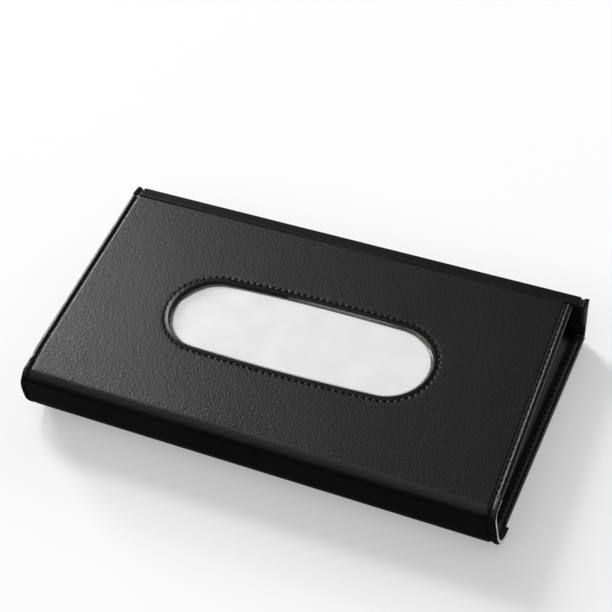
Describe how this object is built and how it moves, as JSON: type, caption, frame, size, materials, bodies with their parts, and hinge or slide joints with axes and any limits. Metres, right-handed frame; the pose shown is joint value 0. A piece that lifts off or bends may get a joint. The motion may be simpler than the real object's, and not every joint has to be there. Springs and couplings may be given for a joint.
{
  "type": "car tissue holder",
  "caption": "Slim leather-covered tissue case for a car sun visor, with a long oval slot, a magnetic closing flap, folded side gussets and elastic straps at the back.",
  "frame": {"origin": "centre of the resting plane, under the straps", "axes": "+X along the case, +Y from the folded nose to the closing flap, +Z out of the tissue slot"},
  "size_m": [0.23, 0.1234, 0.0336],
  "materials": {
    "leather": "fine-grained semi-matte black artificial leather",
    "board": "grey-brown pressed board",
    "lining": "thin black non-woven lining",
    "stiffener": "white flexible sheet, matt",
    "elastic": "black woven elastic webbing",
    "tissue": "soft white tissue paper",
    "magnet": "nickel-plated disc, satin"
  },
  "bodies": {
    "back_shell": {"back_panel_skin": "leather", "back_board": "board", "back_lining": "lining", "spine_skin": "leather", "spine_stiffener": "stiffener", "spine_lining": "lining", "gusset_lower_left": "leather", "gusset_lower_right": "leather", "closure_lip": "leather", "lip_magnet_left": "magnet", "lip_magnet_right": "magnet", "tissue_stack": "tissue", "top_tissue": "tissue", "strap_ends_left": "elastic", "strap_ends_right": "elastic"},
    "front_cover": {"front_panel_skin": "leather", "front_board": "board", "front_lining": "lining", "slot_binding": "leather", "gusset_upper_left": "leather", "gusset_upper_right": "leather"},
    "flap": {"flap_skin": "leather", "flap_board": "board", "flap_lining": "lining", "flap_magnet_left": "magnet", "flap_magnet_right": "magnet"},
    "strap_left": {"strap_left": "elastic"},
    "strap_right": {"strap_right": "elastic"}
  },
  "joints": [
    {"name": "cover_gape", "type": "hinge", "parent": "back_shell", "child": "front_cover", "pos_m": [0, -0.0514, 0.033], "axis": [1, 0, 0], "range_deg": [0, 6]},
    {"name": "flap_hinge", "type": "hinge", "parent": "front_cover", "child": "flap", "pos_m": [0, 0.0557, 0.033], "axis": [1, 0, 0], "range_deg": [0, 170]},
    {"name": "strap_left_stretch", "type": "slide", "parent": "back_shell", "child": "strap_left", "axis": [0, 0, -1], "range_m": [0, 0.018], "stiffness_N_per_m": 200},
    {"name": "strap_right_stretch", "type": "slide", "parent": "back_shell", "child": "strap_right", "axis": [0, 0, -1], "range_m": [0, 0.018], "stiffness_N_per_m": 200}
  ]
}
